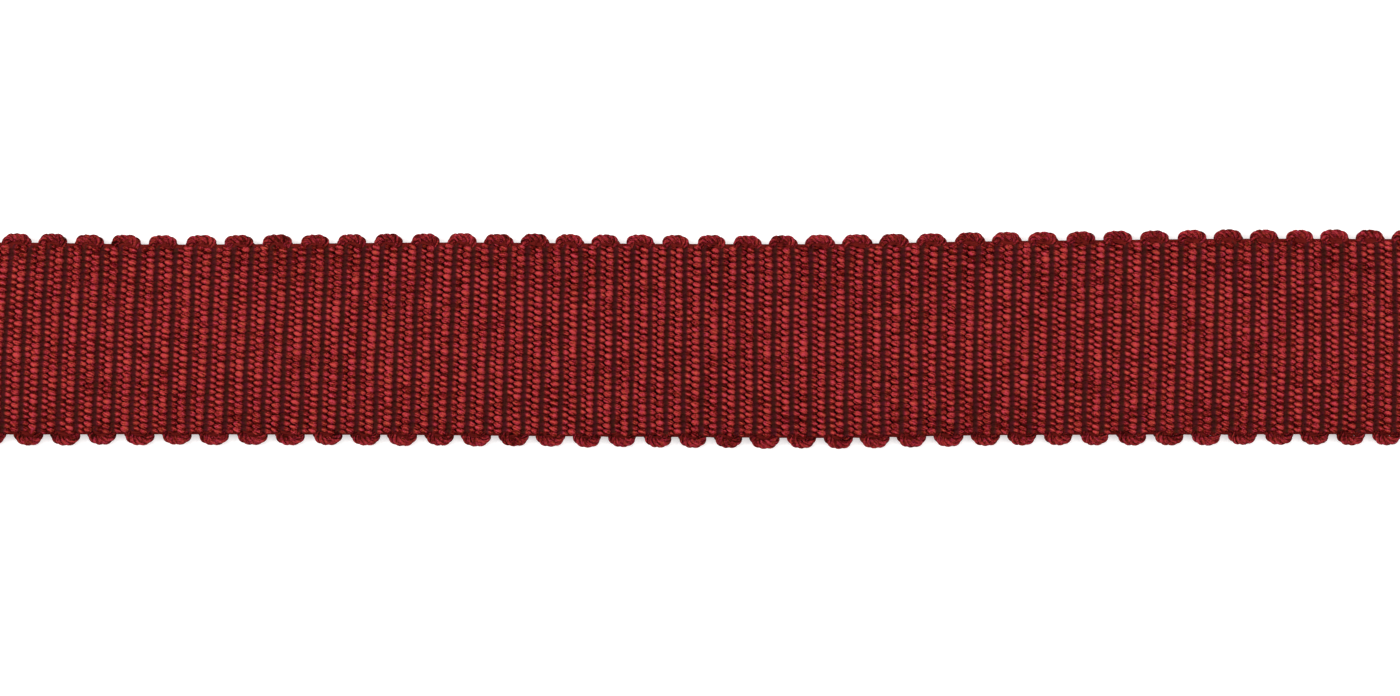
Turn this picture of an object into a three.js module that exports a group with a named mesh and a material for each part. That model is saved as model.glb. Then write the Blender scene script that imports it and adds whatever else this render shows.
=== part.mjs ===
// A cut length of ribbed braid trim with looped edges, lying flat. Millimetres, +Z up.
// The braid is one woven piece: thick crosswise ribs stand up on both faces, and the weft cord
// turns back in a small loop at each edge, round every second rib on one side and round the ribs
// between on the other. +X runs along the braid, and the underside of the ribs lies at z = 0.
import * as THREE from "three";

// Driving dimensions of the weave
const ribPitch = 2.14;
const ribCount = 78;
const thickness = 2.0;
const grooveDepth = 0.55;
const shoulderDrop = 0.16;
const cordDiameter = 1.25;
const loopReach = 1.1;

// Where a rib's points stand, as a share of the pitch from one groove to the next, and how far
// each lies below the rib's crest. The same drops are used on top; below, only the groove is cut.
const ribProfile = [
  { share: 0.0, topDrop: grooveDepth, bottomRise: grooveDepth },
  { share: 0.2, topDrop: shoulderDrop, bottomRise: 0 },
  { share: 0.5, topDrop: 0, bottomRise: 0 },
  { share: 0.8, topDrop: shoulderDrop, bottomRise: 0 },
];

// Edge loops: how far they stand out at the ribs and grooves round a loop's middle. Half a rib from
// the middle is the groove that a leg of the cord comes out of, and a whole rib is the next gap.
const loopProfile = [
  { ribsFromMiddle: 0.0, share: 1.0 },
  { ribsFromMiddle: 0.3, share: 0.95 },
  { ribsFromMiddle: 0.5, share: 0.78 },
  { ribsFromMiddle: 0.7, share: 0.38 },
  { ribsFromMiddle: 1.0, share: 0.0 },
];
const leastLoopShare = 0.3;
const loopRidgeInset = 0.5;
const loopEdgeHeight = 0.5;
const ribEndInset = 0.8;
const ribEndDrop = 0.2;

// The braid as it lies, at stations a fixed number of ribs apart and counted from its middle.
// shift: how far the ribs stand along from an even spacing. lean: how far a rib's far end stands
// ahead of its near end. bow: how far its middle stands ahead of its ends. middle: how far the
// centre line lies off straight. width: over the loops.
const stationRibs = 7.4;
const stations = [
  { shift: -0.55, lean: 1.16, bow: -0.16, middle: 0.03, width: 24.9 },
  { shift: -0.31, lean: 0.99, bow: -0.03, middle: -0.07, width: 24.65 },
  { shift: 0.25, lean: 1.03, bow: -0.09, middle: -0.03, width: 24.8 },
  { shift: 0.49, lean: 0.86, bow: -0.05, middle: 0.0, width: 25.0 },
  { shift: 0.59, lean: 0.43, bow: 0.02, middle: -0.11, width: 25.05 },
  { shift: 0.0, lean: 0.32, bow: -0.03, middle: -0.21, width: 25.05 },
  { shift: -0.16, lean: 0.18, bow: -0.09, middle: -0.25, width: 25.15 },
  { shift: 0.1, lean: 0.38, bow: -0.07, middle: 0.04, width: 25.15 },
  { shift: 0.28, lean: 0.59, bow: 0.01, middle: 0.17, width: 25.25 },
  { shift: 0.52, lean: 0.49, bow: 0.08, middle: 0.27, width: 25.35 },
  { shift: 0.24, lean: 0.14, bow: 0.13, middle: 0.26, width: 25.3 },
];

const midThickness = thickness / 2;
const cordHalfHeight = cordDiameter / 2 - 0.1;
const outermostRow = 3;
const columnsPerRib = ribProfile.length;
const columnCount = ribCount * columnsPerRib;

// A smooth curve through one column of the stations, at a place counted in ribs from the middle.
function stationValue(name, ribsFromCentre) {
  const last = stations.length - 1;
  const place = ribsFromCentre / stationRibs + last / 2;
  const start = Math.min(Math.max(Math.floor(place), 0), last - 1);
  const t = place - start;
  const at = (i) => stations[Math.min(Math.max(i, 0), last)][name];
  const slopeIn = (at(start + 1) - at(start - 1)) / 2;
  const slopeOut = (at(start + 2) - at(start)) / 2;
  const rise = at(start + 1) - at(start);
  if (t < 0) return at(0) + slopeIn * t;
  if (t > 1) return at(last) + slopeOut * (t - 1);
  const bend = 3 * rise - 2 * slopeIn - slopeOut;
  const turn = slopeIn + slopeOut - 2 * rise;
  return at(start) + slopeIn * t + bend * t * t + turn * t * t * t;
}

// How far the edge stands out of the body, as a share of a whole loop. Loops sit on the middles of
// the odd ribs along the far edge and of the even ribs along the near edge.
function loopShare(ribPlace, isFarEdge) {
  const firstLoop = isFarEdge ? 1.5 : 0.5;
  const periods = (ribPlace - firstLoop) / 2;
  const fromMiddle = Math.abs(periods - Math.round(periods)) * 2;
  for (let i = 1; i < loopProfile.length; i++) {
    const outer = loopProfile[i];
    const inner = loopProfile[i - 1];
    if (fromMiddle > outer.ribsFromMiddle) continue;
    const run = outer.ribsFromMiddle - inner.ribsFromMiddle;
    const t = (fromMiddle - inner.ribsFromMiddle) / run;
    return inner.share + (outer.share - inner.share) * t;
  }
  return 0;
}

// The rows of points across the braid, from the near edge to the far one. Each gives its place
// across and its lowest and highest point, for a column of points along the braid.
function rowPoint(row, ribPlace, halfBody, profile) {
  const side = Math.sign(row);
  const reach = side === 0 ? 0 : loopReach * loopShare(ribPlace, side > 0);
  const isLoop = reach > loopReach * leastLoopShare;
  const top = thickness - profile.topDrop;
  const bottom = profile.bottomRise;
  if (Math.abs(row) === outermostRow) {
    return {
      across: side * (halfBody + reach),
      bottom: midThickness - loopEdgeHeight / 2,
      top: midThickness + loopEdgeHeight / 2,
    };
  }
  if (Math.abs(row) === outermostRow - 1) {
    return {
      across: side * (halfBody + reach - loopRidgeInset),
      bottom: isLoop ? midThickness - cordHalfHeight : bottom + ribEndDrop,
      top: isLoop ? midThickness + cordHalfHeight : top - ribEndDrop,
    };
  }
  return {
    across: side * (halfBody - ribEndInset),
    bottom,
    top,
  };
}

// A box of even cells, one column of cells for each part of a rib, is bent into the braid.
function braidGeometry() {
  const rowCount = 2 * outermostRow;
  const geometry = new THREE.BoxGeometry(
    columnCount,
    rowCount,
    1,
    columnCount,
    rowCount,
    1,
  );
  const points = geometry.getAttribute("position");
  for (let i = 0; i < points.count; i++) {
    const column = Math.round(points.getX(i) + columnCount / 2);
    const row = Math.round(points.getY(i));
    const profile = ribProfile[column % columnsPerRib];
    const ribPlace = Math.floor(column / columnsPerRib) + profile.share;
    const fromCentre = ribPlace - ribCount / 2;
    const halfBody = stationValue("width", fromCentre) / 2 - loopReach;
    const point = rowPoint(row, ribPlace, halfBody, profile);
    const share = point.across / halfBody;
    const along =
      fromCentre * ribPitch +
      stationValue("shift", fromCentre) +
      (stationValue("lean", fromCentre) * share) / 2 -
      stationValue("bow", fromCentre) * share * share;
    const isTop = points.getZ(i) > 0;
    points.setXYZ(
      i,
      along,
      point.across + stationValue("middle", fromCentre),
      isTop ? point.top : point.bottom,
    );
  }
  geometry.computeBoundingBox();
  const box = geometry.boundingBox;
  const middle = box.getCenter(new THREE.Vector3());
  geometry.translate(-middle.x, -middle.y, -box.min.z);
  geometry.computeVertexNormals();
  return geometry;
}

const redYarn = new THREE.MeshStandardMaterial({
  color: 0x9c2a2c,
  roughness: 0.85,
  metalness: 0,
});

const braid = new THREE.Mesh(braidGeometry(), redYarn);
braid.name = "braid";

const group = new THREE.Group();
group.add(braid);

export default group;
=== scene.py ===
# %% [markdown]
# # A ribbed braid trim with looped edges
#
# The object is one flat cut length of woven braid, deep red, with thick ribs across it and a row of
# small cord loops along each edge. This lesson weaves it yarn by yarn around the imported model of
# it, which fixes its place and size. The frame is loaded first, and nothing here moves it.

import math

import bmesh
import bpy
import numpy as np
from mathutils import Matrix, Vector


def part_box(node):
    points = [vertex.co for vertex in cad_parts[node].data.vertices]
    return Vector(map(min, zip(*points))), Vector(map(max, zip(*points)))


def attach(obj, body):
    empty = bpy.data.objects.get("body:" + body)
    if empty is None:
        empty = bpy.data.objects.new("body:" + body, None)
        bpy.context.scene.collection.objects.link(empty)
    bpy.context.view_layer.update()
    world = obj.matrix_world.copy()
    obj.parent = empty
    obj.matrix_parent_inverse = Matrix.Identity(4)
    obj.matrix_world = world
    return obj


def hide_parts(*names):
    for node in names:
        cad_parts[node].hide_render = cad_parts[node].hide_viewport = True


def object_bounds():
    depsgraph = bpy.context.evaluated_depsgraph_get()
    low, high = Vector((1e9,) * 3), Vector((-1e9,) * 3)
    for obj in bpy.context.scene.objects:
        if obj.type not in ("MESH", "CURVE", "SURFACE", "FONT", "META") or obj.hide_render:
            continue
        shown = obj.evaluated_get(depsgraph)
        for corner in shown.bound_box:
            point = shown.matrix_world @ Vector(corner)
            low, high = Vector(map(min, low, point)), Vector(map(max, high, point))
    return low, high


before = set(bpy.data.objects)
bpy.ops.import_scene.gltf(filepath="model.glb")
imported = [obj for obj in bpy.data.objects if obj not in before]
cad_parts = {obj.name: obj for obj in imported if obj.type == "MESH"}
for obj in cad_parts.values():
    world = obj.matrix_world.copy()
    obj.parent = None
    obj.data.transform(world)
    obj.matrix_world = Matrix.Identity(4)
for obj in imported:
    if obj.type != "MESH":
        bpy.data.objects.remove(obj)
cad_low, cad_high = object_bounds()
node_low, node_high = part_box("braid")
print("braid solid, mm:", [round(1000 * v, 2) for v in node_high - node_low])

# %% [markdown]
# ## The measures of the weave
#
# All sizes are in millimetres, as a weaver would write them, and are turned to metres at the end.
# The warp yarns run along the braid, and the thick weft cord crosses them, one crossing for each
# rib. `LANE` is the distance from one warp yarn to the next.

# %% Sizes of the braid
MM = 0.001
RIB_PITCH = 2.14
RIB_COUNT = 78
LOOP_REACH = 1.1
CORD_DIAMETER = 1.25
BODY_HALF = 11.42
WARP_COUNT = 61
LANE = 0.3694
MID_HEIGHT = 1.0
THICKNESS = 2.0
END_STUB = 0.3

# %% [markdown]
# ## How the braid lies
#
# A real braid is never quite even. These are the same eleven stations as in the solid: how far the
# ribs stand along from an even spacing, how much they lean, how they bow, where the centre line
# runs and how wide the braid is there. A smooth curve joins them.

# %% Stations along the braid
STATION_RIBS = 7.4
STATIONS = {
    "shift": [-0.55, -0.31, 0.25, 0.49, 0.59, 0.0, -0.16, 0.1, 0.28, 0.52, 0.24],
    "lean": [1.16, 0.99, 1.03, 0.86, 0.43, 0.32, 0.18, 0.38, 0.59, 0.49, 0.14],
    "bow": [-0.16, -0.03, -0.09, -0.05, 0.02, -0.03, -0.09, -0.07, 0.01, 0.08, 0.13],
    "middle": [0.03, -0.07, -0.03, 0.0, -0.11, -0.21, -0.25, 0.04, 0.17, 0.27, 0.26],
    "width": [24.9, 24.65, 24.8, 25.0, 25.05, 25.05, 25.15, 25.15, 25.25, 25.35, 25.3],
}


def station_value(name, rib_place):
    """One measure of how the braid lies, at places along it counted in ribs."""
    values = np.array(STATIONS[name])
    last = len(values) - 1
    place = (np.asarray(rib_place, float) - RIB_COUNT / 2) / STATION_RIBS + last / 2
    start = np.clip(np.floor(place), 0, last - 1).astype(int)
    t = place - start
    here, there = values[start], values[start + 1]
    slope_in = (there - values[np.maximum(start - 1, 0)]) / 2
    slope_out = (values[np.minimum(start + 2, last)] - here) / 2
    rise = there - here
    bend = 3 * rise - 2 * slope_in - slope_out
    turn = slope_in + slope_out - 2 * rise
    curve = here + slope_in * t + bend * t**2 + turn * t**3
    curve = np.where(t < 0, here + slope_in * t, curve)
    return np.where(t > 1, there + slope_out * (t - 1), curve)


# %% [markdown]
# Each rib also strays a little by itself. The weft is beaten up rib by rib, so every rib is bent by
# a few hundredths of a millimetre. Random offsets at seven knots across each rib, smoothly joined,
# give that. They come from one seeded generator, so the braid is the same each time.

# %% The uneven lie
WANDER = 0.07
WANDER_KNOTS = 7
WANDER_MARGIN = 2

random = np.random.default_rng(7)
wander_table = random.uniform(-1, 1, (RIB_COUNT + 2 * WANDER_MARGIN + 1, WANDER_KNOTS))


def ease(t):
    """A smooth step from 0 to 1."""
    return t * t * (3 - 2 * t)


def wander(rib_place, across):
    """How far a rib strays along the braid from the smooth lie, in mm, as hand-beaten ribs do."""
    knots = WANDER_KNOTS - 1
    rib = np.clip(rib_place + WANDER_MARGIN, 0, RIB_COUNT + 2 * WANDER_MARGIN - 0.001)
    knot = np.clip((across / BODY_HALF + 1) / 2 * knots, 0, knots - 0.001)
    i, j = np.floor(rib).astype(int), np.floor(knot).astype(int)
    s, t = ease(rib - i), ease(knot - j)
    near = wander_table[i, j] * (1 - s) + wander_table[i + 1, j] * s
    far = wander_table[i, j + 1] * (1 - s) + wander_table[i + 1, j + 1] * s
    return WANDER * (near * (1 - t) + far * t)


def lay(rib_place, across, height):
    """Points of the even weave, put where the braid lies. Across and height are in millimetres."""
    rib_place, across = np.broadcast_arrays(np.asarray(rib_place, float), across)
    half_body = station_value("width", rib_place) / 2 - LOOP_REACH
    past_edge = np.maximum(np.abs(across) - BODY_HALF, 0) * np.sign(across)
    inside = np.clip(across, -BODY_HALF, BODY_HALF) * half_body / BODY_HALF
    real_across = inside + past_edge
    share = real_across / half_body
    along = (
        (rib_place - RIB_COUNT / 2) * RIB_PITCH
        + station_value("shift", rib_place)
        + station_value("lean", rib_place) * share / 2
        - station_value("bow", rib_place) * share**2
        + wander(rib_place, across)
    )
    real_across = real_across + station_value("middle", rib_place)
    parts = np.broadcast_arrays(along + offset[0], real_across + offset[1], height)
    return np.stack(parts, -1) * MM


# %% [markdown]
# The solid is centred on its box, so the same shift is needed here. It comes from the solid's own
# corners: its lowest X is the near end of the first groove, and its highest Y the tallest loop.

# %% Centre the weave on the frame
GROOVE_LOOP_SHARE = 0.78

offset = np.zeros(2)
first_corner = lay(0.0, -(BODY_HALF + LOOP_REACH * GROOVE_LOOP_SHARE), 0.0)
far_loops = np.arange(1, RIB_COUNT, 2) + 0.5
far_tips = lay(far_loops, np.full(len(far_loops), BODY_HALF + LOOP_REACH), 0.0)
offset = np.array([cad_low.x - first_corner[0], cad_high.y - far_tips[:, 1].max()]) / MM
print("weave shifted by, mm:", offset.round(3))

# %% [markdown]
# ## Camera, floor and light
#
# The picture is taken from straight above with a long lens, so the camera hangs high over the
# braid, as wide as 165 mm of it.

# %% Camera
PICTURE_WIDTH = 164.5
CAMERA_HEIGHT = 700.0
CAMERA_X = 0.27
CAMERA_Y = -1.05
SENSOR = 36.0

camera_data = bpy.data.cameras.new("camera")
camera_data.sensor_width = SENSOR
camera_data.lens = SENSOR * (CAMERA_HEIGHT - THICKNESS) / PICTURE_WIDTH
camera_data.clip_end = 10.0
camera = bpy.data.objects.new("camera", camera_data)
camera.location = (CAMERA_X * MM, CAMERA_Y * MM, CAMERA_HEIGHT * MM)
bpy.context.scene.collection.objects.link(camera)
bpy.context.scene.camera = camera
print("lens, mm:", round(camera_data.lens, 1))

# %% [markdown]
# Three small functions serve all the materials: one turns a hex colour into what shaders take, one
# adds a node and its links, and one starts a material.


# %% Node and colour helpers
def linear(hex_colour):
    """An sRGB hex colour as the linear RGBA that shaders take."""
    parts = [int(hex_colour[i : i + 2], 16) / 255 for i in (1, 3, 5)]
    return [p / 12.92 if p <= 0.04045 else ((p + 0.055) / 1.055) ** 2.4 for p in parts] + [1.0]


def add_node(tree, kind, settings=None, links=None, **properties):
    """Adds a node. settings sets sockets by name or number, links feeds them from other sockets."""
    node = tree.nodes.new(kind)
    for name, value in properties.items():
        setattr(node, name, value)
    for key, value in (settings or {}).items():
        node.inputs[key].default_value = value
    for key, source in (links or {}).items():
        tree.links.new(source, node.inputs[key])
    return node


def new_material(name):
    """An empty material with its output node."""
    material = bpy.data.materials.new(name)
    material.use_nodes = True
    tree = material.node_tree
    tree.nodes.clear()
    return material, tree, add_node(tree, "ShaderNodeOutputMaterial")


# %% [markdown]
# The floor is matt white paper on a light table: plain uncoated paper has no gloss, and the light
# from under it leaves the ground pure white with hardly a shadow, as such cut-out pictures have it.

# %% Floor
FLOOR_SIZE = 4.0
TABLE_GLOW = 0.45

floor_bm = bmesh.new()
bmesh.ops.create_grid(floor_bm, x_segments=1, y_segments=1, size=FLOOR_SIZE / 2)
floor_mesh = bpy.data.meshes.new("floor")
floor_bm.to_mesh(floor_mesh)
floor_bm.free()
floor = bpy.data.objects.new("floor", floor_mesh)
bpy.context.scene.collection.objects.link(floor)
paper, tree, output = new_material("matt_white_paper")
paper_shader = add_node(
    tree,
    "ShaderNodeBsdfPrincipled",
    {
        "Base Color": linear("#E2E2E1"),
        "Roughness": 0.9,
        "Specular IOR Level": 0.2,
        "Emission Color": linear("#FFFFFF"),
        "Emission Strength": TABLE_GLOW,
    },
)
tree.links.new(paper_shader.outputs[0], output.inputs[0])
floor_mesh.materials.append(paper)

# %% [markdown]
# Soft light comes from all round, with more from a large box at the left, because the left flanks
# of the ribs are the brighter ones.

# %% Lights
SKY_STRENGTH = 0.55


def soft_light(name, place, size, power):
    """A square soft light that looks at the middle of the braid. Place and size in metres."""
    data = bpy.data.lights.new(name, "AREA")
    data.size = size
    data.energy = power
    lamp = bpy.data.objects.new(name, data)
    lamp.location = place
    lamp.rotation_mode = "QUATERNION"
    lamp.rotation_quaternion = (-lamp.location).to_track_quat("-Z", "Y")
    bpy.context.scene.collection.objects.link(lamp)


soft_light("left_box", (-0.9, 0.25, 0.8), 0.7, 11.0)
soft_light("right_box", (0.9, -0.1, 0.9), 0.7, 5.0)
soft_light("top_box", (0.0, 0.5, 1.3), 0.9, 7.0)
world = bpy.data.worlds.new("studio")
world.use_nodes = True
world.node_tree.nodes["Background"].inputs["Color"].default_value = (1, 1, 1, 1)
world.node_tree.nodes["Background"].inputs["Strength"].default_value = SKY_STRENGTH
bpy.context.scene.world = world
bpy.context.scene.view_settings.view_transform = "Standard"

# %% [markdown]
# ## Making straight tubes to shape
#
# Each yarn starts as a straight tube: a flat grid that is rolled up, merged along its seam and
# capped. The tube is then copied across with an Array modifier, and the finished shape is a matter
# of moving its points: a point's X says which ring of the tube it is in, its place round the
# tube's line says where on the ring, and the tube's number says which yarn.

# %% Straight tubes
TUBE_SPACING = 4.0


def straight_tubes(name, rings, sides, copies):
    """Copies of a straight capped tube of radius 1 along X, one unit from ring to ring."""
    bm = bmesh.new()
    bmesh.ops.create_grid(bm, x_segments=rings - 1, y_segments=sides, size=1.0)
    for point in bm.verts:
        ring = (point.co.x + 1) / 2 * (rings - 1)
        angle = math.pi * (point.co.y + 0.5)
        point.co = (ring, math.cos(angle), math.sin(angle))
    bmesh.ops.remove_doubles(bm, verts=bm.verts, dist=0.001)
    bmesh.ops.holes_fill(bm, edges=[e for e in bm.edges if e.is_boundary])
    bmesh.ops.recalc_face_normals(bm, faces=bm.faces)
    mesh = bpy.data.meshes.new(name)
    bm.to_mesh(mesh)
    bm.free()
    tubes = bpy.data.objects.new(name, mesh)
    bpy.context.scene.collection.objects.link(tubes)
    array = tubes.modifiers.new("across", "ARRAY")
    array.count = copies
    array.use_relative_offset = False
    array.use_constant_offset = True
    array.constant_offset_displace = (0, TUBE_SPACING, 0)
    applied = bpy.data.meshes.new_from_object(
        tubes.evaluated_get(bpy.context.evaluated_depsgraph_get())
    )
    tubes.modifiers.clear()
    tubes.data = applied
    applied.name = name
    bpy.data.meshes.remove(mesh)
    return tubes


def read_points(piece):
    """The points of a piece's mesh, a row of X, Y and Z for each."""
    points = np.zeros(len(piece.data.vertices) * 3)
    piece.data.vertices.foreach_get("co", points)
    return points.reshape(-1, 3)


def read_tubes(tubes):
    """For every point of the tubes: its ring, its angle round the ring and its tube's number."""
    points = read_points(tubes)
    number = np.rint(points[:, 1] / TUBE_SPACING).astype(int)
    angle = np.arctan2(points[:, 2], points[:, 1] - number * TUBE_SPACING)
    return np.rint(points[:, 0]).astype(int), angle, number


def place_points(piece, points):
    """Moves a piece's points to where they belong, in metres, and smooths its shading."""
    piece.data.vertices.foreach_set("co", points.astype(np.float32).ravel())
    piece.data.update()
    piece.data.shade_smooth()


def set_attribute(piece, name, values):
    """Stores a number, or three, for every point of a piece, for its material to read."""
    kind = "FLOAT" if values.ndim == 1 else "FLOAT_VECTOR"
    attribute = piece.data.attributes.new(name, kind, "POINT")
    key = "value" if values.ndim == 1 else "vector"
    attribute.data.foreach_set(key, values.astype(np.float32).ravel())


def triangles(piece):
    """How many triangles a piece has."""
    return sum(len(p.vertices) - 2 for p in piece.data.polygons)


# %% [markdown]
# ## The warp yarns
#
# The braid is warp-faced: 61 thick soft yarns lie so close together that they hide the weft. Each
# one floats over a weft crossing, dives through the cloth in the middle of the next rib, floats
# under the next crossing and comes up again, and its neighbours do the opposite. Where a float
# passes the crossing it is pulled down into a groove, so every rib shows two columns of yarn: the
# floats that rise out of the groove on its left, and the fuller ones that sink into the groove on
# its right. A short table gives one float, with places in ribs from the crossing. Soft yarns that
# are pressed together are squarer than round ones, so their sections are made a little fuller.

# %% One float
FLOAT = {
    "place": [-0.5, -0.44, -0.37, -0.3, -0.21, -0.13, 0.0, 0.14, 0.22, 0.32, 0.41],
    "height": [0.0, 0.38, 0.64, 0.7, 0.58, 0.28, 0.18, 0.26, 0.5, 0.6, 0.42],
    "half_width": [0.1, 0.19, 0.3, 0.37, 0.38, 0.37, 0.35, 0.34, 0.33, 0.3, 0.2],
    "half_height": [0.2, 0.24, 0.27, 0.28, 0.26, 0.22, 0.2, 0.22, 0.25, 0.26, 0.23],
    "lean": [0.2, 0.105, 0.04, -0.01, -0.03, -0.02, 0.03, 0.1, 0.09, 0.04, -0.01],
}
YARN_SIDES = 6
YARN_FULLNESS = 0.7


def float_rings():
    """Where the rings of a yarn stand along the braid, in ribs, with its two cut ends."""
    crossings = np.arange(-1, RIB_COUNT + 2)
    rings = (crossings[:, None] + np.array(FLOAT["place"])).ravel()
    inside = rings[(rings > -END_STUB) & (rings < RIB_COUNT + END_STUB)]
    return np.concatenate([[-END_STUB], inside, [RIB_COUNT + END_STUB]])


def float_value(name, place, mirrored):
    """A measure of the float table at places from its crossing, repeating after one rib."""
    places = np.array(FLOAT["place"] + [FLOAT["place"][0] + 1.0])
    sign = -1.0 if mirrored else 1.0
    values = np.array(FLOAT[name] + [sign * FLOAT[name][0]])
    return np.interp(place, places, values)


def fuller(part):
    """The cosine or sine of a point on a round section, moved out for a pressed, squarer one."""
    return np.sign(part) * np.abs(part) ** YARN_FULLNESS


RING_PLACES = float_rings()
print("rings in a warp yarn:", len(RING_PLACES))

# %% [markdown]
# At the edges the weave changes. The outermost yarns are pressed together, and a rib flattens out:
# a lot where a loop of the cord crosses over its end, and a little where it ends between two loops.

# %% The edges of the weave
EDGE_SQUEEZE = 0.04
SQUEEZED_LANES = 2
EDGE_FADE = 1.1
LOOP_FLATTENING = 0.5
GAP_FLATTENING = 0.25


def lane_across(lanes):
    """Where the warp yarns lie. The outermost ones on each side are pressed closer together."""
    from_middle = lanes - (WARP_COUNT - 1) / 2
    outer = np.maximum(np.abs(from_middle) - (WARP_COUNT - 1) / 2 + SQUEEZED_LANES, 0)
    return from_middle * LANE - np.sign(from_middle) * EDGE_SQUEEZE * outer**2


def edge_flatness(rings, across):
    """How much of its full height a rib keeps near the edges."""
    rib = np.floor(rings).astype(int)
    far_loop = rib % 2 == 1
    to_edge = BODY_HALF - np.abs(across)
    is_loop = np.where(across > 0, far_loop, ~far_loop)
    ramp = np.clip(1 - to_edge / EDGE_FADE, 0, 1)
    return 1 - ramp * np.where(is_loop, LOOP_FLATTENING, GAP_FLATTENING)


# %% [markdown]
# ### The light and shade painted on each point of a yarn
#
# Light hardly reaches into cloth this dense, and that shade is painted into the yarn's colour. Each
# point carries a number of painted shade, from 0 on the crest of a float, where a painted highlight
# sits, to 1 in a hole, and the material turns that into colour. The shares below say what painted
# shade each place adds: the flank of a float, a low stretch of yarn, the nearness of a groove, and
# an edge where the rib flattens. The yarn is also made darker towards the edges of the braid, and a
# little difference between floats is their own uneven tone.

# %% Shares of the painted light and shade
# Painted highlight on the crest; painted shade on the flank, in low places, near grooves, on the
# rising end and at flattened edges.
CREST_LIT = 0.08
CREST_TO_FLANK_SHADE = 0.72
LOW_FLOAT = 0.38
LOW_SHADOW = 0.7
GROOVE_SHIFT = 0.06
GROOVE_INSIDE = 0.05
GROOVE_OUTSIDE = 0.225
GROOVE_FADE = 0.3
GROOVE_SHADOW = 0.1
RISING_END = 0.4
RISING_SHADOW = 0.02
EDGE_SHADOW = 0.6
# Darker towards the edges of the braid.
EDGE_DARKENING = 0.12
TINT_JITTER = 0.08
DARKNESS_LIMITS = (-0.2, 1.3)


def warp_painted_shade(t, outward, height, from_groove, flatness, across, tint):
    """The painted light and shade of the warp yarns' points, from where on the float they lie."""
    low = 1 - np.clip(np.abs(height) / LOW_FLOAT, 0, 1)
    by_groove = np.clip((GROOVE_FADE - from_groove) / (GROOVE_FADE - GROOVE_INSIDE), 0, 1)
    darkness = (
        CREST_LIT
        + CREST_TO_FLANK_SHADE * (1 - outward)
        + LOW_SHADOW * low
        + GROOVE_SHADOW * ease(by_groove)
        + RISING_SHADOW * ((t > 0) & (t < RISING_END))
        + EDGE_SHADOW * (1 - flatness)
        + EDGE_DARKENING * (across / BODY_HALF) ** 2
        + TINT_JITTER * tint
    )
    return np.clip(darkness, *DARKNESS_LIMITS)


# %% [markdown]
# ### Weaving
#
# The same table serves both faces, so a float's height and lean only change sign below the cloth.
# Each float also gets a little unevenness of its own, from the seeded generator: yarn is not wire,
# and its floats vary in height, width and place by a few hundredths of a millimetre. The yarns are
# made in four pieces, which keeps each one light enough.

# %% Weave the warp yarns
PLACE_JITTER = 0.05
SIZE_JITTER = 0.1
TWIST_PER_LANE = 0.7
PATTERN_PER_LANE = 3.7
WARP_GROUPS = 4

float_wobble = random.uniform(-1, 1, (WARP_COUNT, RIB_COUNT + 3, 4))


def weave(name, first_lane, lane_count):
    """The warp yarns of some neighbouring lanes, as one piece."""
    rings = RING_PLACES
    tubes = straight_tubes(name, len(rings), YARN_SIDES, lane_count)
    ring, angle, number = read_tubes(tubes)
    crossing = np.floor(rings - FLOAT["place"][0] + 1e-9).astype(int)
    t = rings - crossing
    lanes = first_lane + np.arange(lane_count)

    # The middle lines of the yarns: a row for each yarn and a column for each ring
    side = np.where((lanes[:, None] + crossing) % 2 == 1, 1.0, -1.0)
    wobble = float_wobble[lanes[:, None], crossing + 1]
    height = side * float_value("height", t, False) * (1 + SIZE_JITTER * wobble[..., 0])
    half_width = float_value("half_width", t, False) * (1 + SIZE_JITTER * wobble[..., 1])
    half_height = np.broadcast_to(float_value("half_height", t, False), height.shape)
    lean = side * float_value("lean", t, True)
    across = lane_across(lanes)[:, None] + lean + PLACE_JITTER * wobble[..., 2]
    flatness = edge_flatness(rings, across)
    room = MID_HEIGHT - half_height
    height = np.clip(height, -room, room) * flatness
    along = rings * RIB_PITCH
    run = np.gradient(np.broadcast_to(along, height.shape), axis=1)
    climb = np.gradient(height, axis=1)
    length = np.hypot(run, climb)
    up, back = run / length, climb / length

    # The points round those lines
    here = (number, ring)
    wide = half_width[here] * fuller(np.cos(angle))
    tall = half_height[here] * fuller(np.sin(angle))
    rib_place = rings[ring] - back[here] * tall / RIB_PITCH
    points = lay(rib_place, across[here] + wide, MID_HEIGHT + height[here] + up[here] * tall)
    place_points(tubes, points)

    # What the material reads
    groove_place = rib_place - GROOVE_SHIFT
    from_groove = np.abs(groove_place - np.round(groove_place))
    outward = side[here] * np.sin(angle)
    # Painted light and shade of each point, from its place on the float.
    shadow = warp_painted_shade(
        t[ring],
        outward,
        height[here],
        from_groove,
        flatness[here],
        across[here],
        wobble[number, ring, 3],
    )
    set_attribute(tubes, "shadow", shadow)
    set_attribute(tubes, "from_groove", from_groove)
    travel = along[ring] + TWIST_PER_LANE * lanes[number]
    set_attribute(tubes, "twist", np.stack([travel, np.cos(angle), np.sin(angle)], -1))
    set_attribute(tubes, "yarn", PATTERN_PER_LANE * lanes[number])
    return tubes


group_edges = np.linspace(0, WARP_COUNT, WARP_GROUPS + 1).astype(int)
warp_pieces = []
for index, (start, stop) in enumerate(zip(group_edges[:-1], group_edges[1:])):
    piece = weave(f"warp_yarns_{index + 1}", start, stop - start)
    warp_pieces.append(piece)
    print(piece.name, "yarns:", stop - start, "triangles:", triangles(piece))
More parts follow.
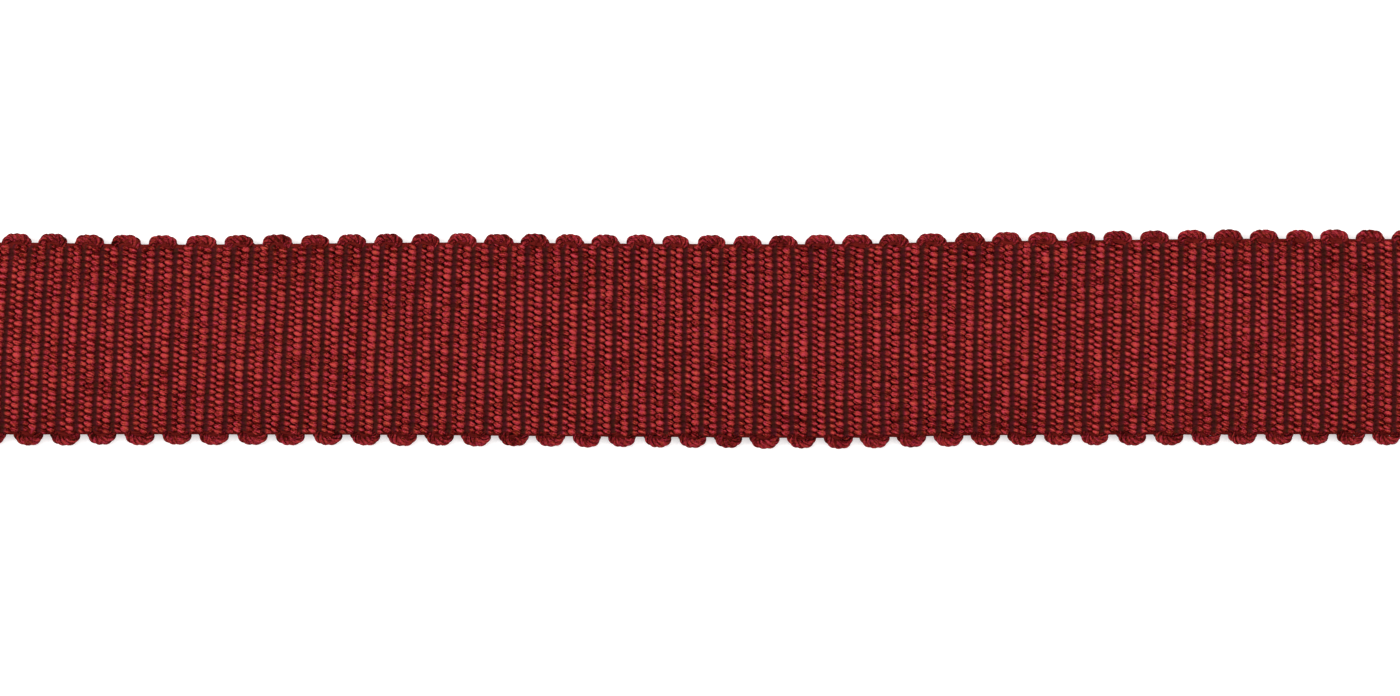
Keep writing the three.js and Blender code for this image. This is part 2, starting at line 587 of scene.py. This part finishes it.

# %% [markdown]
# ## The weft cord
#
# One thick cord runs to and fro across the whole braid, a crossing in every groove, and turns back
# outside the edge in a loop. Its route has a leg in each groove and a rounded turn at each edge.
# The turns of the near edge (-1) and the far edge (1) differ a little: how square they are, how far
# they lean, how they drift along the edge against the ribs (in mm, in the middle of the braid and
# more towards its ends), and how much painted shade they get all over and at their inner side.

# %% Route of the weft cord
LEG_PLACES = [0.0, 6.0, 9.2, 9.9, 10.25, 10.55]
TURN_STEPS = 22
TURN_HALF = 1.2
TURN_EXTRA = 0.07
# The last two numbers of each turn are painted shade: over the whole turn and at its inner side.
TURNS = {
    -1.0: {"roundness": 2.7, "lean": 0.12, "drift": (0.12, 0.28), "lit": 0.19, "inner": 0.4},
    1.0: {"roundness": 3.6, "lean": 0.2, "drift": (0.1, 0.5), "lit": 0.32, "inner": 0.08},
}
LOOP_JITTER = 0.04
LOOP_SWAY = 0.08
DRIFT_FROM = 10.0
DRIFT_TO = 11.4

loop_wobble = random.uniform(-1, 1, (RIB_COUNT, 2))


def turn_outline(share, roundness):
    """Half a turn of the cord as a rounded box, from one leg to the next: along and outward."""
    angle = math.pi * (1 - share)
    power = 2 / roundness
    along = np.sign(np.cos(angle)) * np.abs(np.cos(angle)) ** power
    outward = np.abs(np.sin(angle)) ** power
    return along * TURN_HALF, outward * TURN_HALF


def loop_drift(rib_place, across):
    """How far the loops stray along their edge: more towards the ends of the braid, in mm."""
    share = rib_place / RIB_COUNT * 2 - 1
    near, far = TURNS[-1.0]["drift"], TURNS[1.0]["drift"]
    drift = np.where(across < 0, near[0] + near[1] * share, far[0] + far[1] * share)
    return drift * ease(np.clip((np.abs(across) - DRIFT_FROM) / (DRIFT_TO - DRIFT_FROM), 0, 1))


def cord_route():
    """The cord's middle line in the even weave: along and across in mm, and 1 in its turns."""
    tip = BODY_HALF + LOOP_REACH + TURN_EXTRA - CORD_DIAMETER / 2
    turn_start = tip - TURN_HALF
    route = []
    leg = np.concatenate([LEG_PLACES[::-1], -np.array(LEG_PLACES[1:])])
    for crossing in range(RIB_COUNT + 1):
        towards_near = crossing % 2 == 0
        for across in leg if towards_near else -leg:
            route.append((crossing * RIB_PITCH, across, 0.0))
        if crossing == RIB_COUNT:
            break
        outside = -1.0 if towards_near else 1.0
        turn = TURNS[outside]
        reach = 1 + LOOP_JITTER * loop_wobble[crossing, 0]
        sway = turn["lean"] + LOOP_SWAY * loop_wobble[crossing, 1]
        for step in range(TURN_STEPS + 1):
            along, outward = turn_outline(step / TURN_STEPS, turn["roundness"])
            outward *= reach
            lean = sway * outward / TURN_HALF
            middle = (crossing + 0.5) * RIB_PITCH - outside * lean
            route.append((middle + along, outside * (turn_start + outward), 1.0))
    route = np.array(route)
    route[:, 0] += loop_drift(route[:, 0] / RIB_PITCH, route[:, 1])
    return route


route = cord_route()
print("points on the cord's route:", len(route))

# %% [markdown]
# The cord is laid up from four strands, which show as slanting turns round each loop. They wind
# round the route only in the turns, and inside the cloth the warp presses them flat.

# %% Lay up the strands
STRANDS = 4
STRAND_SIDES = 6
STRAND_RADIUS = 0.31
STRAND_RING = 0.33
CORD_LAY = 2.9
LEG_FLATNESS = 0.3
FLAT_FROM = 11.4
FLAT_TO = 10.4
# Painted shade on the cord: between the strands, on the legs in the cloth, and on the inner side of
# the loops, fading out at CORD_INNER.
CORD_INNER = 12.2
CORD_INNER_FADE = 1.0
SHADE_BETWEEN_STRANDS = 0.22
LEG_SHADOW = 0.45
OUT_OF_GROOVE = 0.5
PATTERN_PER_STRAND = 5.3


def lay_strands(name):
    """The four strands of the weft cord along its route, as one piece."""
    tubes = straight_tubes(name, len(route), STRAND_SIDES, STRANDS)
    ring, angle, strand = read_tubes(tubes)
    along, across, in_turn = route.T
    forward = np.stack([np.gradient(along), np.gradient(across)], -1)
    step = np.linalg.norm(forward, axis=1)
    forward = forward / step[:, None]
    sideways = np.stack([-forward[:, 1], forward[:, 0]], -1)
    free = ease(np.clip((np.abs(across) - FLAT_TO) / (FLAT_FROM - FLAT_TO), 0, 1))
    flat = LEG_FLATNESS + (1 - LEG_FLATNESS) * free

    # The points of each strand, wound round the route
    travel = np.cumsum(step * in_turn)
    around = 2 * math.pi * (travel[ring] / CORD_LAY + strand / STRANDS)
    offset_side = STRAND_RING * np.cos(around) + STRAND_RADIUS * np.cos(angle)
    offset_up = (STRAND_RING * np.sin(around) + STRAND_RADIUS * np.sin(angle)) * flat[ring]
    real_along = along[ring] + sideways[ring, 0] * offset_side
    real_across = across[ring] + sideways[ring, 1] * offset_side
    place_points(tubes, lay(real_along / RIB_PITCH, real_across, MID_HEIGHT + offset_up))

    # What the material reads
    near, far = TURNS[-1.0], TURNS[1.0]
    inner = np.clip((CORD_INNER - np.abs(real_across)) / CORD_INNER_FADE, 0, 1)
    # Painted shade of the cord: per edge, between strands, on the legs and at the inner side of the
    # loops.
    shadow = (
        np.where(real_across < 0, near["lit"], far["lit"])
        + SHADE_BETWEEN_STRANDS * (1 - np.cos(angle - around))
        + LEG_SHADOW * (1 - free[ring])
        + np.where(real_across < 0, near["inner"], far["inner"]) * inner
    )
    set_attribute(tubes, "shadow", np.clip(shadow, *DARKNESS_LIMITS))
    set_attribute(tubes, "from_groove", np.full(len(ring), OUT_OF_GROOVE))
    set_attribute(tubes, "twist", np.stack([travel[ring], np.cos(angle), np.sin(angle)], -1))
    set_attribute(tubes, "yarn", PATTERN_PER_STRAND * strand)
    return tubes


weft_cord = lay_strands("weft_cord")
print(weft_cord.name, "triangles:", triangles(weft_cord))

# %% [markdown]
# ## The closed inside of the cloth
#
# Between the two layers of floats the imported yarn and cord leave no way through. A thin sheet on
# the same lie stands for that packed inside, so no light comes through the small holes where the
# floats dive, and its dark colour is painted shade. It is the sheet of cloth that the yarns belong
# to. It reaches the selvage, and bulges a little into each loop, where the cord leaves the cloth.

# %% Ground sheet
GROUND_TOP = 0.34
GROUND_CELLS_PER_RIB = 4
GROUND_ROWS = 8
GROUND_NEAR = 11.27
GROUND_FAR = 11.45
GROUND_AT_LOOPS = 0.3
GROUND_ROW_POWER = 0.3
GROUND_END = 0.12
SELVAGE_SHADE_PLACE = 0.28


def make_ground(name):
    """A flat closed sheet, cut a little smaller than the body and laid as the braid lies."""
    bm = bmesh.new()
    bmesh.ops.create_grid(
        bm,
        x_segments=RIB_COUNT * GROUND_CELLS_PER_RIB,
        y_segments=GROUND_ROWS,
        size=1.0,
    )
    lower = bmesh.ops.extrude_face_region(bm, geom=bm.faces[:])
    lower_points = [g for g in lower["geom"] if isinstance(g, bmesh.types.BMVert)]
    bmesh.ops.translate(bm, verts=lower_points, vec=(0, 0, -1))
    bmesh.ops.recalc_face_normals(bm, faces=bm.faces)
    mesh = bpy.data.meshes.new(name)
    bm.to_mesh(mesh)
    bm.free()
    ground = bpy.data.objects.new(name, mesh)
    bpy.context.scene.collection.objects.link(ground)
    points = read_points(ground)
    rib_place = RIB_COUNT / 2 + points[:, 0] * (RIB_COUNT / 2 + GROUND_END)
    is_far = points[:, 1] > 0
    at_loops = np.maximum(np.where(is_far, -1.0, 1.0) * np.sin(math.pi * rib_place), 0)
    half = np.where(is_far, GROUND_FAR, GROUND_NEAR) + GROUND_AT_LOOPS * at_loops
    across = np.sign(points[:, 1]) * np.abs(points[:, 1]) ** GROUND_ROW_POWER * half
    is_top = points[:, 2] > -0.5
    height = MID_HEIGHT + np.where(is_top, GROUND_TOP, -GROUND_TOP)
    place_points(ground, lay(rib_place, across, height))
    # The place in the rib picks the sheet's painted shade; the selvage gets the lighter deep red.
    from_groove = np.abs(rib_place - np.round(rib_place))
    is_selvage = np.abs(points[:, 1]) > 0.99
    set_attribute(ground, "from_groove", np.where(is_selvage, SELVAGE_SHADE_PLACE, from_groove))
    return ground


braid_ground = make_ground("braid_ground")
print(braid_ground.name, "triangles:", triangles(braid_ground))

# %% [markdown]
# ## The yarn's finish
#
# The yarn is piece-dyed spun yarn, two plies twisted together: short fibres, so it is matt and a
# little hairy, with a weak red sheen and no gloss. Its plies and fibres show as fine slanting
# streaks. They are worked out from the distance along the yarn and the angle round it, which every
# point carries, so they follow each float and each strand wherever it goes. Noises are in the scale
# of real fibres, and their sizes are in waves per millimetre, or round and along the yarn.

# %% Scales and strengths of the yarn's pattern
YARN_LAY = 3.0
PLY_COUNT = 2.0
PLY_RELIEF = 0.05
STREAK_RELIEF = 1.2
RELIEF_STRENGTH = 0.6
STREAKS_ROUND = 2.5
STREAKS_ALONG = 1.6
FIBRE_SCALE = 5.0
RAGGED_SCALE = 2.5
PATCH_SCALE = 0.45
HUE_SCALE = 2.5
DEPTH_SCALE = 1.1
RAGGED_EDGE = 0.04
HUE_SPREAD = 0.014
NOISE_SHAPE = {"Detail": 2.0, "Roughness": 0.6}
# Painted shade of the grooves: dull brown with a purple cast here and there.
GROOVE_SHADE_COLOURS = {0.38: "#3A1A12", 0.62: "#4A151C"}


def set_stops(ramp_node, stops):
    """Gives a colour ramp its colours, from hex colours by their place."""
    (first_place, first_colour), *others = stops.items()
    elements = ramp_node.color_ramp.elements
    elements.remove(elements[1])
    elements[0].position = first_place
    elements[0].color = linear(first_colour)
    for place, colour in others:
        elements.new(place).color = linear(colour)


def yarn_patterns(tree):
    """The patterns on a yarn: the ridges of its plies, and noises along it and through space."""
    place = add_node(tree, "ShaderNodeTexCoord").outputs["Object"]
    twist = add_node(tree, "ShaderNodeAttribute", attribute_name="twist").outputs["Vector"]
    parts = add_node(tree, "ShaderNodeSeparateXYZ", links={0: twist}).outputs
    angle = add_node(
        tree, "ShaderNodeMath", links={0: parts["Z"], 1: parts["Y"]}, operation="ARCTAN2"
    ).outputs[0]
    turned = add_node(
        tree,
        "ShaderNodeMath",
        {1: -2 * math.pi / YARN_LAY},
        {0: parts["X"], 2: angle},
        operation="MULTIPLY_ADD",
    ).outputs[0]
    ply = add_node(tree, "ShaderNodeMath", {1: PLY_COUNT}, {0: turned}, operation="MULTIPLY")
    ridge = add_node(tree, "ShaderNodeMath", links={0: ply.outputs[0]}, operation="COSINE")
    yarn = add_node(tree, "ShaderNodeAttribute", attribute_name="yarn")
    spread = add_node(
        tree, "ShaderNodeCombineXYZ", links={0: turned, 1: parts["X"], 2: yarn.outputs["Fac"]}
    )
    streak_place = add_node(
        tree,
        "ShaderNodeVectorMath",
        {1: (STREAKS_ROUND, STREAKS_ALONG, 1.0)},
        {0: spread.outputs[0]},
        operation="MULTIPLY",
    )
    patterns = {"ridge": ridge.outputs[0]}
    for label, vector, scale in (
        ("streak", streak_place.outputs[0], 1.0),
        ("fibre", place, FIBRE_SCALE / MM),
        ("ragged", place, RAGGED_SCALE / MM),
        ("patch", place, PATCH_SCALE / MM),
        ("hue", place, HUE_SCALE / MM),
    ):
        patterns[label] = add_node(
            tree,
            "ShaderNodeTexNoise",
            {"Scale": scale, **NOISE_SHAPE},
            {"Vector": vector},
            normalize=False,
        ).outputs[0]
    depth = add_node(
        tree, "ShaderNodeTexNoise", {"Scale": DEPTH_SCALE / MM, **NOISE_SHAPE}, {"Vector": place}
    )
    patterns["depth"] = depth.outputs[0]
    return patterns


# %% [markdown]
# The colour starts from the painted shade of each point. The patterns shift that a little, and a
# ramp turns it into red: a painted highlight on the crest, deep red painted shade on the flank and
# almost black painted shade in a hole. In the grooves the yarn gets a painted shade of dull brown
# with a purple cast here and there, up to a ragged edge. At the end the hue wavers a little, as dyed
# fibre does.


# %% Yarn colour
def yarn_colour(tree, patterns, weights, stops):
    """The colour of a yarn, from the painted light and shade of each point and the yarn's patterns.
    """
    darkness = add_node(tree, "ShaderNodeAttribute", attribute_name="shadow").outputs["Fac"]
    for label, weight in weights.items():
        darkness = add_node(
            tree,
            "ShaderNodeMath",
            {1: weight},
            {0: patterns[label], 2: darkness},
            operation="MULTIPLY_ADD",
        ).outputs[0]
    lit_to_shaded = add_node(tree, "ShaderNodeValToRGB", links={0: darkness})
    set_stops(lit_to_shaded, stops)
    groove_shade = add_node(tree, "ShaderNodeValToRGB", links={0: patterns["depth"]})
    set_stops(groove_shade, GROOVE_SHADE_COLOURS)

    from_groove = add_node(tree, "ShaderNodeAttribute", attribute_name="from_groove")
    ragged = add_node(
        tree,
        "ShaderNodeMath",
        {1: RAGGED_EDGE},
        {0: patterns["ragged"], 2: from_groove.outputs["Fac"]},
        operation="MULTIPLY_ADD",
    )
    groove_shade_share = add_node(
        tree,
        "ShaderNodeMapRange",
        {"From Min": GROOVE_OUTSIDE, "From Max": GROOVE_INSIDE},
        {"Value": ragged.outputs[0]},
        interpolation_type="SMOOTHSTEP",
    )
    with_groove_shade = add_node(
        tree,
        "ShaderNodeMix",
        links={
            "Factor": groove_shade_share.outputs[0],
            "A": lit_to_shaded.outputs[0],
            "B": groove_shade.outputs[0],
        },
        data_type="RGBA",
    )
    hue = add_node(
        tree,
        "ShaderNodeMath",
        {1: HUE_SPREAD, 2: 0.5},
        {0: patterns["hue"]},
        operation="MULTIPLY_ADD",
    )
    tinted = add_node(
        tree,
        "ShaderNodeHueSaturation",
        links={"Hue": hue.outputs[0], "Color": with_groove_shade.outputs["Result"]},
    )
    return tinted.outputs[0]


# %% [markdown]
# The warp and the cord are the same kind of yarn, dyed together. The warp shows as smooth bright
# grains. The cord is looser and fuzzier, so it is duller and more speckled.

# %% Yarn materials
# Each ramp runs from a painted highlight through the lit red to painted shade, deep red and almost
# black.
WARP_LIT_TO_SHADED_COLOURS = {0.0: "#B13939", 0.2: "#A22E2F", 0.55: "#5E0F09", 1.0: "#120101"}
CORD_LIT_TO_SHADED_COLOURS = {0.0: "#A03034", 0.2: "#882226", 0.55: "#58100E", 1.0: "#180302"}
WARP_WEIGHTS = {"ridge": -0.08, "streak": 0.6, "fibre": 0.35, "patch": 0.12}
CORD_WEIGHTS = {"ridge": -0.03, "streak": 0.6, "fibre": 0.5, "patch": 0.2}


def yarn_material(name, weights, stops):
    """Dyed twisted yarn, with its colours from a painted highlight on a float's crest to painted
    shade in the holes.
    """
    material, tree, output = new_material(name)
    patterns = yarn_patterns(tree)
    relief = add_node(
        tree,
        "ShaderNodeMath",
        {1: STREAK_RELIEF},
        {0: patterns["streak"], 2: patterns["ridge"]},
        operation="MULTIPLY_ADD",
    )
    bump = add_node(
        tree,
        "ShaderNodeBump",
        {"Strength": RELIEF_STRENGTH, "Distance": PLY_RELIEF * MM},
        {"Height": relief.outputs[0]},
    )
    shader = add_node(
        tree,
        "ShaderNodeBsdfPrincipled",
        {
            "Roughness": 0.85,
            "IOR": 1.5,
            "Specular IOR Level": 0.015,
            "Sheen Weight": 0.06,
            "Sheen Roughness": 0.6,
            "Sheen Tint": linear("#C03030"),
        },
        {
            "Base Color": yarn_colour(tree, patterns, weights, stops),
            "Normal": bump.outputs[0],
        },
    )
    tree.links.new(shader.outputs[0], output.inputs[0])
    return material


warp_yarn = yarn_material("spun_warp_yarn", WARP_WEIGHTS, WARP_LIT_TO_SHADED_COLOURS)
cord_yarn = yarn_material("spun_cord_yarn", CORD_WEIGHTS, CORD_LIT_TO_SHADED_COLOURS)

# %% [markdown]
# The imported inside is the same yarn seen from between the floats, so it has no sheen at all. Its
# colour is painted shade that goes by the place in the rib: brown in the groove, deep red where it
# is near the surface and at the selvage, and nearly black under the middle of the rib. Fibres run
# along it.

# %% Packed yarn
# Painted shade of the packed inside, by place in the rib.
PACKED_SHADE_COLOURS = {0.12: "#3C1614", 0.22: "#641814", 0.34: "#5C1512", 0.45: "#0A0101"}
PACKED_ALONG = 1.2
PACKED_ACROSS = 7.0
PACKED_UNEVENNESS = 0.12
PACKED_RELIEF = 0.8

packed_yarn, tree, output = new_material("packed_yarn_in_painted_shade")
along_yarns = add_node(
    tree,
    "ShaderNodeVectorMath",
    {1: (PACKED_ALONG / MM, PACKED_ACROSS / MM, PACKED_ACROSS / MM)},
    {0: add_node(tree, "ShaderNodeTexCoord").outputs["Object"]},
    operation="MULTIPLY",
)
fibres = add_node(
    tree,
    "ShaderNodeTexNoise",
    {"Scale": 1.0, **NOISE_SHAPE},
    {"Vector": along_yarns.outputs[0]},
    normalize=False,
)
from_groove = add_node(tree, "ShaderNodeAttribute", attribute_name="from_groove")
packed_place = add_node(
    tree,
    "ShaderNodeMath",
    {1: PACKED_UNEVENNESS},
    {0: fibres.outputs[0], 2: from_groove.outputs["Fac"]},
    operation="MULTIPLY_ADD",
)
packed_shade_colour = add_node(tree, "ShaderNodeValToRGB", links={0: packed_place.outputs[0]})
set_stops(packed_shade_colour, PACKED_SHADE_COLOURS)
packed_bump = add_node(
    tree,
    "ShaderNodeBump",
    {"Strength": PACKED_RELIEF, "Distance": PLY_RELIEF * MM},
    {"Height": fibres.outputs[0]},
)
packed_shader = add_node(
    tree,
    "ShaderNodeBsdfPrincipled",
    {"Roughness": 0.95, "Specular IOR Level": 0.015},
    {"Base Color": packed_shade_colour.outputs[0], "Normal": packed_bump.outputs[0]},
)
tree.links.new(packed_shader.outputs[0], output.inputs[0])

# %% [markdown]
#
# All the pieces belong to the one body of the braid. The ground sheet replaces the plain solid, and
# the yarns go with it. Its flat size is the body's width between the selvages and 78 rib pitches.

for piece in warp_pieces:
    piece.data.materials.append(warp_yarn)
weft_cord.data.materials.append(cord_yarn)
braid_ground.data.materials.append(packed_yarn)

for piece in [*warp_pieces, weft_cord, braid_ground]:
    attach(piece, "root")
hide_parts("braid")

# %% [markdown]
# ## The size of the solid
#
# The woven braid is made to fit the box of its solid, and that box is printed.

# %% Print the size of the solid
print("solid box, mm:", [round(1000 * v, 2) for v in cad_high - cad_low])
